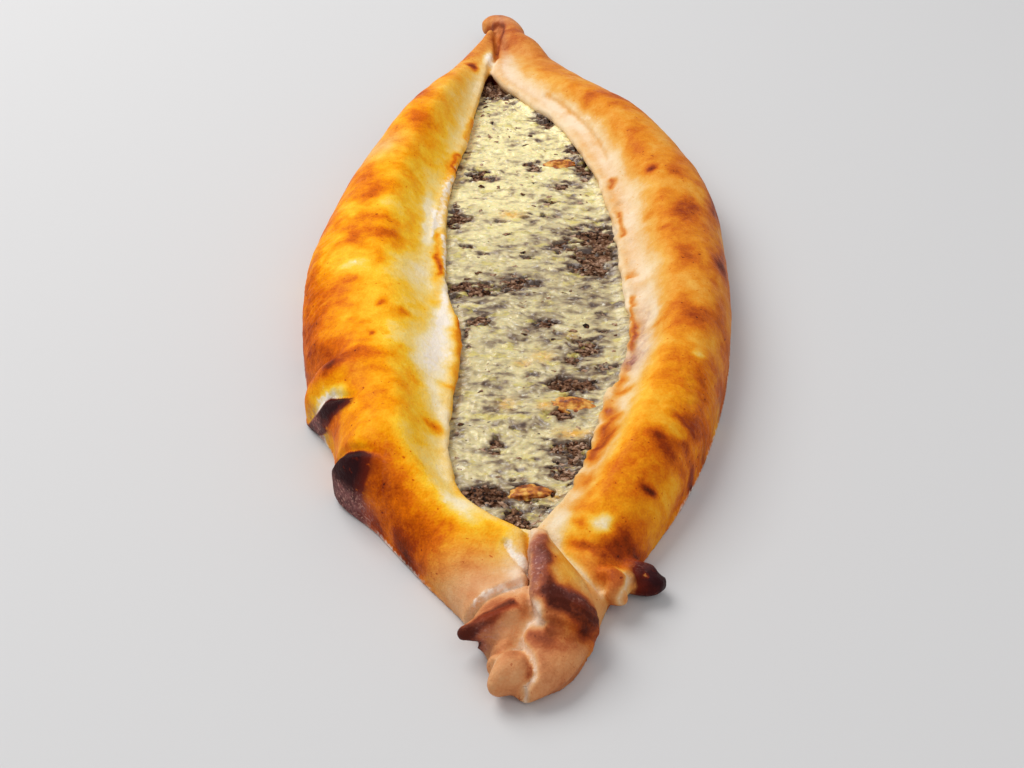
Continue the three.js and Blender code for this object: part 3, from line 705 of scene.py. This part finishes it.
def paint(red, green, blue):
    """A colour as it is seen, 0 to 255, turned into the shader's linear numbers."""
    seen = [value / 255 for value in (red, green, blue)]
    return [v / 12.92 if v < 0.04 else ((v + 0.055) / 1.055) ** 2.4 for v in seen] + [1]


def ramp(tree, share, stops):
    made = node(tree, "ValToRGB", {"Fac": share})
    line = made.color_ramp
    while len(line.elements) < len(stops):
        line.elements.new(0.5)
    for element, (place, color) in zip(line.elements, stops):
        element.position = place
        element.color = paint(*color)
    return made.outputs["Color"]


def blended(tree, share, a, b):
    made = node(tree, "Mix", {"Factor": share}, data_type="RGBA")
    for socket, value in ((made.inputs[6], a), (made.inputs[7], b)):
        if isinstance(value, bpy.types.NodeSocket):
            tree.links.new(value, socket)
        else:
            socket.default_value = paint(*value)
    return made.outputs[2]


def product(tree, a, b):
    return reckon(tree, "MULTIPLY", a, b)


def sum_of(tree, first, share, second):
    return reckon(tree, "ADD", first, product(tree, second, share))


def surface(name, **values):
    """A material with a Principled shader and the values that are the same all over it."""
    made = bpy.data.materials.new(name)
    made.use_nodes = True
    shader = made.node_tree.nodes["Principled BSDF"]
    for title, value in values.items():
        shader.inputs[title.replace("_", " ")].default_value = value
    return made, made.node_tree, shader


def layer_value(tree, name):
    return node(tree, "Attribute", attribute_name=name).outputs["Fac"]


def finish_surface(tree, shader, color, roughness, height, depth):
    tree.links.new(color, shader.inputs["Base Color"])
    tree.links.new(roughness, shader.inputs["Roughness"])
    bump = node(tree, "Bump", {"Height": height, "Strength": 1, "Distance": depth / 1000})
    tree.links.new(bump.outputs[0], shader.inputs["Normal"])


crust_look, tree, shader = surface(
    "baked crust", Specular_IOR_Level=0.04, Coat_Weight=0.02, Coat_Roughness=0.3,
    Subsurface_Weight=0.03, Subsurface_Radius=(0.004, 0.002, 0.001), Subsurface_Scale=0.5,
)
# Blotches that deepen the browning, from broad clouds to small dots: share, size, detail, range.
BLOTCHES = [
    (0.16, 9, 2, 0.25, 0.75), (0.07, 2.4, 3, 0.25, 0.75), (0.06, 0.7, 3, 0.3, 0.7),
    (0.2, 1.5, 2, 0.68, 0.76),
]
BLOTCH_MIDDLE = 0.14
browning = layer_value(tree, "bake")
for share, size, detail, start, end in BLOTCHES:
    blotch = mottle(tree, size, detail, start=start, end=end)
    browning = sum_of(tree, browning, share, blotch)
browning = reckon(tree, "SUBTRACT", browning, BLOTCH_MIDDLE)
golden = ramp(tree, browning, [
    (0, (252, 234, 190)), (0.2, (250, 216, 122)), (0.38, (255, 198, 46)), (0.54, (248, 156, 0)),
    (0.68, (220, 106, 0)), (0.83, (160, 58, 0)), (1, (84, 28, 8)),
])
tan = ramp(tree, browning, [
    (0, (243, 220, 184)), (0.2, (234, 198, 144)), (0.38, (228, 166, 82)), (0.54, (220, 136, 40)),
    (0.68, (200, 102, 26)), (0.83, (150, 60, 24)), (1, (80, 30, 18)),
])
color = blended(tree, layer_value(tree, "gold"), tan, golden)
pink = ramp(tree, browning, [
    (0, (240, 212, 186)), (0.3, (222, 168, 126)), (0.5, (206, 138, 96)), (0.7, (164, 90, 58)),
    (1, (84, 36, 26)),
])
# Pinker dough, which on the far half's outer walls is painted shade and painted sheen.
color = blended(tree, layer_value(tree, "blush"), color, pink)
dust = mottle(tree, 1.6, 5, start=0.25, end=0.75)
dusty = node(tree, "MapRange", {
    "Value": sum_of(tree, layer_value(tree, "flour"), 0.55, dust), "From Min": 0.56, "From Max": 1.25,
}, interpolation_type="SMOOTHSTEP").outputs[0]
color = blended(tree, dusty, color, (253, 240, 222))
# Burnt black, which also paints the shade inside the mouth of the far seam.
burnt = mottle(tree, 2.4, 5, start=0.1, end=0.45)
burnt = product(tree, layer_value(tree, "char"), burnt)
soot = ramp(tree, burnt, [(0.12, (170, 62, 12)), (0.4, (104, 32, 16)), (0.75, (48, 18, 20))])
burnt = ramp(tree, burnt, [(0.08, (0, 0, 0)), (0.4, (255, 255, 255))])
color = blended(tree, burnt, color, soot)
# Painted sheen and painted highlights: a greyish pink reflection of the sky, and small pale pink glints
# over it.
bloom_layer = layer_value(tree, "bloom")
sheen_share = product(tree, bloom_layer, mottle(tree, 2.2, 5, start=0.15, end=0.75))
color = blended(tree, sheen_share, color, (142, 88, 84))
painted_glint = product(tree, bloom_layer, mottle(tree, 0.9, 5, start=0.5, end=0.75))
color = blended(tree, painted_glint, color, (206, 152, 134))
skin = mottle(tree, 1.6, 5, start=0.2, end=0.8)
skin = sum_of(tree, skin, 0.5, mottle(tree, 0.5, 2, start=0.3, end=0.7))
egg_wash = mottle(tree, 5, 3, start=0.3, end=0.7)
gloss = node(tree, "MapRange", {"Value": egg_wash, "To Min": 0.36, "To Max": 0.56}).outputs[0]
finish_surface(tree, shader, color, gloss, skin, 0.12)
dough.data.materials.clear()
dough.data.materials.append(crust_look)
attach(dough, "root")
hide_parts("crust")


# The mince: a layer of fried minced meat, spread over the dough before its rims were rolled in.
# It is a bed of meat with loose crumbs on it, and stands in low mounds where no cheese lies.
MEAT_TOP = 9
MEAT_FLOOR = 5.4
# Bare mounds: x, y, half width, half length, how bare, turn.
MOUNDS = [
    (-14.8, 58.6, 4.8, 4.2, 1), (-22.8, 26, 3.4, 6.5, 1), (12, 99, 3.2, 2.8, 1),
    (23.5, 78, 4, 4, 1), (26, 62, 3.2, 6, 0.9), (6.3, 64.7, 2.6, 3.6, 0.9), (16.5, 50, 5, 2.4, 0.9),
    (28.5, 13, 6, 9, 1, 10), (26, -3.5, 6, 6, 1), (19, 8, 6, 9, 0.5), (-17.8, -18.7, 6.3, 5, 1.1),
    (-10, -19, 3, 2, 0.8), (-1.5, -16, 4.6, 4.6, 0.9), (-13.4, -38, 4, 3, 0.9),
    (9.2, -39, 3.4, 2, 0.9), (21.5, -50, 4, 3, 0.8), (23, -54, 4, 1.2, 0.8),
    (17.3, -59.5, 2.4, 2, 0.7), (27, -63, 5, 2, 0.6, 10), (17.5, -73.5, 8, 3, 1.1),
    (13, -88.6, 4.6, 2.4, 1), (-7.4, -104, 2.6, 3.2, 1), (15, -104, 7.4, 2.8, 0.9),
    (12.6, -114.5, 5.6, 5.5, 0.85), (-10.7, -126, 6.4, 4, 1.2), (-0.6, -137.5, 4, 4.4, 0.9),
    (7.6, -132, 2.2, 1.8, 0.8), (1.6, -144, 1.8, 2, 1), (5.6, -123.4, 0.9, 0.8, 1.2),
    (9.4, -125.5, 1, 0.9, 1.2), (3, -129, 1.1, 0.8, 1.2), (-2, -119.6, 0.9, 0.7, 1.2),
    (-10.7, 133, 3.6, 7, 1.2), (0, 121.3, 4, 0.9, 0.9), (10, 105, 2.4, 1.8, 0.7),
    (-24.2, 36.4, 1.4, 1.8, 0.7), (-6.2, 25.6, 3.4, 1, 0.8, -15), (6.1, 28.6, 3.2, 0.9, 0.7),
    (-3.6, 15.7, 2.2, 1, 0.7), (-19.2, 8.2, 2.4, 1.2, 0.7, -15), (-13, 3.1, 1.6, 1.2, 0.7),
    (3.2, 1.5, 1.8, 1.1, 0.7), (14, 39, 3, 0.8, 0.6), (28.9, -44, 2.6, 1, 0.7),
    (29.3, -34, 2.4, 1, 0.7), (-17.6, -45, 1, 4, 0.7), (-17.2, -53.6, 1.8, 1, 0.6),
]
# Where the pieces of tomato lie in the mince: x, y, half width, half length, turn.
TOMATOES = [
    (16.5, 67.5, 6.2, 3.2, 6), (16.5, -83, 6.4, 3.6, -9), (3.2, -125, 6.8, 3.8, 6),
]
rng = np.random.default_rng(7)


def bareness(points):
    """1 where the mince stands bare of cheese, 0 where it is well covered."""
    torn = moved_by_noise(points, 1.6, 3, 31)
    drawn = noise(points * (0.5, 1.3, 1), 1.8, 34, 2)
    return np.clip(marks(torn, MOUNDS) * (1 + 0.9 * drawn), 0, 1.3)


def from_lips(points):
    """How far places are inwards from the left lip's edge, and from the right one's."""
    x, y = points[:, 0], points[:, 1]
    return x - inner_edge(-1, y), inner_edge(1, y) - x


def bed(columns, spare, rows):
    """A grid of places over the pocket, as (row, column, 3) with heights of 0."""
    left = inner_edge(-1, rows)[:, None] - spare
    right = inner_edge(1, rows)[:, None] + spare
    share = np.linspace(0, 1, columns)[None, :]
    x = mix(right, left, share)
    return np.stack([x, np.repeat(rows[:, None], columns, 1), 0 * x], -1)


def bed_solid(top, floor):
    """Points and faces of a solid under a grid of top points, with one flat underside."""
    left, right = top[:, -1:].copy(), top[:, :1].copy()
    left[..., 2] = right[..., 2] = floor
    return loft(np.concatenate([left, right, top], 1))


def from_tomato(points):
    """How far places are from the nearest piece of tomato: 0 at its middle, 1 at its edge."""
    return np.min([
        np.hypot((points[:, 0] - x) / wide, (points[:, 1] - y) / long)
        for x, y, wide, long, _ in TOMATOES
    ], axis=0)


top = bed(60, 4, np.linspace(NEAR_APEX + 3.2, FAR_APEX - 2.2, 230))
flat = top.reshape(-1, 3)
flat[:, 2] = MEAT_TOP + 0.7 * noise(flat, 3.4, 32) + 0.7 * np.clip(bareness(flat), 0, 1)
core_points, core_faces = bed_solid(top, MEAT_FLOOR)

# Loose crumbs of meat: thick on the bare mounds, and strewn thinly over the whole bed. A seed is
# x, y, z, size and tone, and none lies under a lip or, but for a few dark ones, on the tomato.
CRUMB_TOP = MEAT_TOP + 1.1
CRUMBS_ON_AREA = 2.1
STREWN_CRUMBS = 800
CLEAR_OF_LIP = 0.4
CORE_TONE = 0.35
ball = bmesh.new()
bmesh.ops.create_icosphere(ball, subdivisions=2, radius=1)
ball_points = np.array([v.co for v in ball.verts])
ball_faces = np.array([[v.index for v in f.verts] for f in ball.faces])
ball.free()
seeds = []
for x, y, wide, long, strength, *_ in MOUNDS:
    count = int(1 + wide * long * strength * CRUMBS_ON_AREA)
    angle = rng.uniform(0, 2 * math.pi, count)
    far = np.sqrt(rng.uniform(0, 1, count)) * 0.9
    place_x = x + wide * far * np.cos(angle)
    place_y = y + long * far * np.sin(angle)
    size = rng.uniform(0.4, 1.2, count) * min(1, 0.5 + 0.2 * min(wide, long))
    place_z = CRUMB_TOP - 0.35 * size + rng.uniform(-0.4, 0.3, count)
    tone = rng.uniform(0, 1, count) * np.clip(2.4 - 1.8 * strength, 0.2, 1)
    seeds.append(np.stack([place_x, place_y, place_z, size, tone], 1))
loose_y = rng.uniform(NEAR_APEX + 5, FAR_APEX - 4, STREWN_CRUMBS)
share = rng.uniform(0.02, 0.98, len(loose_y))
loose_x = mix(inner_edge(-1, loose_y), inner_edge(1, loose_y), share)
loose_size = rng.uniform(0.4, 1.1, len(loose_y))
loose_z = CRUMB_TOP + rng.uniform(-0.6, 0.25, len(loose_y))
loose_tone = rng.uniform(0, 1, len(loose_y))
seeds.append(np.stack([loose_x, loose_y, loose_z, loose_size, loose_tone], 1))
seeds = np.concatenate(seeds)
inside = np.minimum(*from_lips(seeds)) > CLEAR_OF_LIP
on_tomato = from_tomato(seeds) < 0.75
inside &= ~on_tomato | (seeds[:, 4] < 0.3) & (seeds[:, 3] > 0.5)
seeds[:, 2] += 0.9 * on_tomato
seeds = seeds[inside]
seed_at, seed_size, seed_tone = seeds[:, None, :3], seeds[:, None, 3:4], seeds[:, 4]
turn = rng.uniform(-0.7, 0.7, (len(seeds), 1))
stretch = rng.uniform((0.9, 0.5, 0.4), (1.9, 1.0, 0.8), (len(seeds), 3))
tilt = rng.uniform(-0.5, 0.5, (2, len(seeds), 1))
lumpy = ball_points[None] + 0 * seed_at
bumps = noise((lumpy + 3.7 * seed_at).reshape(-1, 3), 0.7, 33, 2).reshape(len(seeds), -1, 1)
lumpy = lumpy * np.clip(1 + bumps, 0.35, 1.9) * stretch[:, None] * seed_size
crumb_x, crumb_y = turned(lumpy[..., 0], lumpy[..., 1], turn)
crumb_z = lumpy[..., 2] + tilt[0] * crumb_x + tilt[1] * crumb_y
crumbs = np.stack([crumb_x, crumb_y, crumb_z], -1) + seed_at
first = len(core_points) + np.arange(len(seeds))[:, None, None] * len(ball_points)
crumb_faces = (ball_faces[None] + first).reshape(-1, 3).tolist()
points = np.concatenate([core_points, crumbs.reshape(-1, 3)])
mince = mesh_object("mince", points / 1000, core_faces + crumb_faces)
core_tone = np.full(len(core_points), CORE_TONE)
keep_layers(mince, tone=np.concatenate([core_tone, np.repeat(seed_tone, len(ball_points))]))
smooth_faces(mince, flat_after=len(core_faces))

meat_look, tree, shader = surface(
    "fried mince", Specular_IOR_Level=0.15, Coat_Weight=0.1, Coat_Roughness=0.2,
)
grains = mottle(tree, 1.2, 3, start=0.3, end=0.7)
color = ramp(tree, sum_of(tree, layer_value(tree, "tone"), 0.6, grains), [
    (0.15, (32, 14, 7)), (0.5, (110, 70, 45)), (0.85, (160, 121, 92)), (1, (190, 156, 130)),
])
grit = mottle(tree, 0.8, 5, start=0.25, end=0.75, stretch=1.6)
finish_surface(tree, shader, color, mottle(tree, 1.5, 2, start=-0.3, end=1.2), grit, 0.35)
mince.data.materials.append(meat_look)
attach(mince, "root")
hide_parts("minced_meat")

# The tomato: small dice of tomato, softened and shrunk in the oven to glossy orange pulp with
# torn, fibrous edges. They lie loose in the top of the mince, with the cheese melted up to them.
TOMATO_MIDDLE = 10.1
TOMATO_HALF_HEIGHT = 1.5
TORN_DEPTH = 0.4
FIBRE_HEIGHT = 0.1
pulp_look, tree, shader = surface(
    "soft tomato", Specular_IOR_Level=0.4, Coat_Weight=0.2, Coat_Roughness=0.2,
    Subsurface_Weight=0.15, Subsurface_Radius=(0.004, 0.002, 0.001), Subsurface_Scale=0.4,
)
color = ramp(tree, mottle(tree, 2.4, 3, start=0.25, end=0.7), [
    (0, (96, 40, 8)), (0.3, (158, 80, 12)), (0.6, (196, 118, 28)), (1, (232, 178, 84)),
])
wet = mottle(tree, 1.5, 2, start=-0.5, end=1.1)
finish_surface(tree, shader, color, wet, mottle(tree, 1.1, 4, stretch=1.5), 0.15)
around = np.linspace(0, 2 * math.pi, 110, endpoint=False)[None, :]
tall = np.linspace(-0.497, 0.497, 56)[:, None] * math.pi
level = np.sin(tall) + 0 * around
unit = np.stack([np.cos(around) * np.cos(tall), np.sin(around) * np.cos(tall), level], -1)
for number, (x, y, wide, long, turn) in enumerate(TOMATOES, 1):
    lumps = (unit * (2, 3, 2) + number * 9).reshape(-1, 3)
    strands = (unit * (2, 6, 4) + number).reshape(-1, 3)
    torn = noise(lumps, 1.6, 40 + number, 2).reshape(level.shape)
    fibres = noise(strands, 1.2, 50 + number, 2).reshape(level.shape)
    size = (wide, long, TOMATO_HALF_HEIGHT)
    form = unit * np.clip(1 + TORN_DEPTH * torn, 0.6, 1.3)[..., None] * size
    form[..., 2] += FIBRE_HEIGHT * fibres * (level > 0)
    across, along = turned(form[..., 0], form[..., 1], math.radians(turn))
    dice = np.stack([x + across, y + along, TOMATO_MIDDLE + form[..., 2]], -1)
    tomato = mesh_object(f"tomato_{number}", *loft(dice / 1000))
    smooth_faces(tomato)
    tomato.data.materials.append(pulp_look)
    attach(tomato, "root")
    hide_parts(f"tomato_piece_{number}")

# The cheese: a pale grated cheese, strewn over the mince and melted into one thin blanket.
# It sags between the crumbs, thins out over them, and pulls back from the bare mounds.
CHEESE_FLOOR = 6.8
CHEESE_THICKNESS = 2.5
CHEESE_FAR_END = 128
rows = np.linspace(NEAR_APEX + 6, CHEESE_FAR_END, 560)
top = bed(130, 1.3, rows)
flat = top.reshape(-1, 3)
bare = np.maximum(bareness(flat), bell((1.1 * from_tomato(flat)) ** 2))
drawn = moved_by_noise(flat, 2.5, 9, 68) * (0.6, 1.2, 1)
cover = 0.88 + 0.34 * noise(flat, 11, 61) + 0.48 * noise(drawn, 2.2, 62) - 1.1 * bare
cover -= 0.35 * smooth(flat[:, 1], CHEESE_FAR_END - 12, CHEESE_FAR_END)
body = smooth(cover, 0.02, 0.5)
from_left, from_right = from_lips(flat)
shreds = np.abs(noise(moved_by_noise(drawn, 1.2, 4, 63), 1.8, 64, 2)) - 0.25
thickness = CHEESE_THICKNESS + 0.4 * noise(flat, 9, 65, 2)
flat[:, 2] = MEAT_TOP - 0.7 + body * thickness + 0.6 * body * shreds
flat[:, 2] += 0.3 * noise(drawn, 1, 66, 2) * body - 0.4 * body * (1 - smooth(from_left, 0, 2.5))
flat[:, 2] += 1.1 * body * (1 - smooth(from_right, 0, 3.5))
cheese = mesh_object("cheese", *bed_solid(top / 1000, CHEESE_FLOOR / 1000))
# Golden spots where fat has gathered: x, y, half width, half length, strength.
GOLDEN_SPOTS = [
    (-2.7, 29.5, 3.6, 2.2, 1), (-3.9, -83.5, 2.6, 2.4, 0.7), (17, -98, 4.6, 1.8, 1),
    (1, -62, 2.4, 1.8, 0.7), (7.7, -58, 2.8, 2.6, 0.8), (17.6, -46.5, 1.8, 1.6, 0.5),
    (8.3, -84.3, 2.2, 2, 1), (9.6, -127, 2.4, 2, 0.9), (9, -141, 3, 3, 0.6),
]


def with_floor(values):
    """Values for the bed's top, with those of its edges repeated for the underside."""
    grid = values.reshape(len(rows), -1)
    return np.concatenate([grid[:, -1:], grid[:, :1], grid], 1).ravel()


# What the cheese's material reads: how thin it lies, how golden it is, and how pale and fresh.
thin = 1 - smooth(cover, 0.2, 1.15)
rich = marks(flat, GOLDEN_SPOTS)
fresh = smooth(flat[:, 1], -20, 60) + 0.35 * noise(flat, 14, 67, 2)
keep_layers(cheese, thin=with_floor(thin), rich=with_floor(rich), fresh=with_floor(fresh))
smooth_faces(cheese)

melt_look, tree, shader = surface(
    "melted cheese", Specular_IOR_Level=0.5, Coat_Weight=0.5, Coat_Roughness=0.12,
    Subsurface_Weight=0.25, Subsurface_Radius=(0.006, 0.004, 0.002), Subsurface_Scale=0.3,
)
clouds = mottle(tree, 3, 5, start=0.35, end=0.8, stretch=2.5)
veil = sum_of(tree, layer_value(tree, "thin"), 0.32, clouds)
aged = ramp(tree, veil, [
    (0.05, (218, 202, 146)), (0.3, (194, 177, 132)), (0.55, (162, 143, 106)), (0.8, (118, 95, 68)),
    (1, (78, 53, 36)),
])
young = ramp(tree, veil, [
    (0.05, (252, 238, 174)), (0.35, (238, 222, 162)), (0.6, (206, 188, 140)), (0.85, (150, 126, 94)),
    (1, (88, 62, 46)),
])
color = blended(tree, layer_value(tree, "fresh"), aged, young)
golden_spot = product(tree, layer_value(tree, "rich"), mottle(tree, 1.5, start=0.2, end=0.6))
color = blended(tree, golden_spot, color, (232, 176, 60))
oily = mottle(tree, 4, 3, start=0.56, end=0.7, stretch=1.5)
color = blended(tree, product(tree, oily, 0.75), color, (214, 196, 98))
milky = mottle(tree, 1.3, 5, start=0.58, end=0.82, stretch=1.8)
color = blended(tree, milky, color, (242, 235, 212))
shade = mottle(tree, 1.7, 5, start=0.5, end=0.74, stretch=1.8)
color = blended(tree, product(tree, shade, 0.5), color, (112, 92, 68))
fleck = mottle(tree, 0.8, 3, start=0.69, end=0.74, stretch=2)
color = blended(tree, fleck, color, (74, 52, 38))
wet = mottle(tree, 2.5, 3, start=-0.3, end=1.2)
strings = mottle(tree, 0.9, 4, start=0.2, end=0.8, stretch=2)
finish_surface(tree, shader, color, wet, strings, 0.2)
cheese.data.materials.append(melt_look)
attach(cheese, "root")
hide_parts("melted_cheese")

# The floor, the light and the camera: a pale flat floor under soft daylight from the left and
# behind, with a weaker lamp in front, seen from the near end and looking down.
floor = mesh_object("floor", [(-3, -3, 0), (3, -3, 0), (3, 3, 0), (-3, 3, 0)], [[0, 1, 2, 3]])
pale_look = surface("pale floor", Base_Color=(0.62, 0.61, 0.6, 1), Roughness=0.8)[0]
floor.data.materials.append(pale_look)
bpy.context.scene.view_settings.view_transform = "Standard"
world = bpy.context.scene.world or bpy.data.worlds.new("sky")
bpy.context.scene.world = world
world.use_nodes = True
sky = world.node_tree.nodes["Background"].inputs
sky["Color"].default_value = (0.93, 0.95, 1, 1)
sky["Strength"].default_value = 0.45


def lamp(name, place, size, power):
    light = bpy.data.lights.new(name, "AREA")
    light.size = size
    light.energy = power
    made = placed(name, light)
    made.location = place
    made.rotation_euler = (-made.location).to_track_quat("-Z", "Y").to_euler()


lamp("window", (-0.75, 0.6, 1.2), 1.1, 20)
lamp("room", (0.5, -1.1, 1.3), 1.6, 6.5)
CAMERA_DIP = 38
lens = bpy.data.cameras.new("camera")
lens.lens = 55.55
lens.sensor_width = 36
camera = placed("camera", lens)
camera.location = (-0.00235, -0.4752, 0.325)
camera.rotation_euler = (math.radians(90 - CAMERA_DIP), 0, 0)
bpy.context.scene.camera = camera
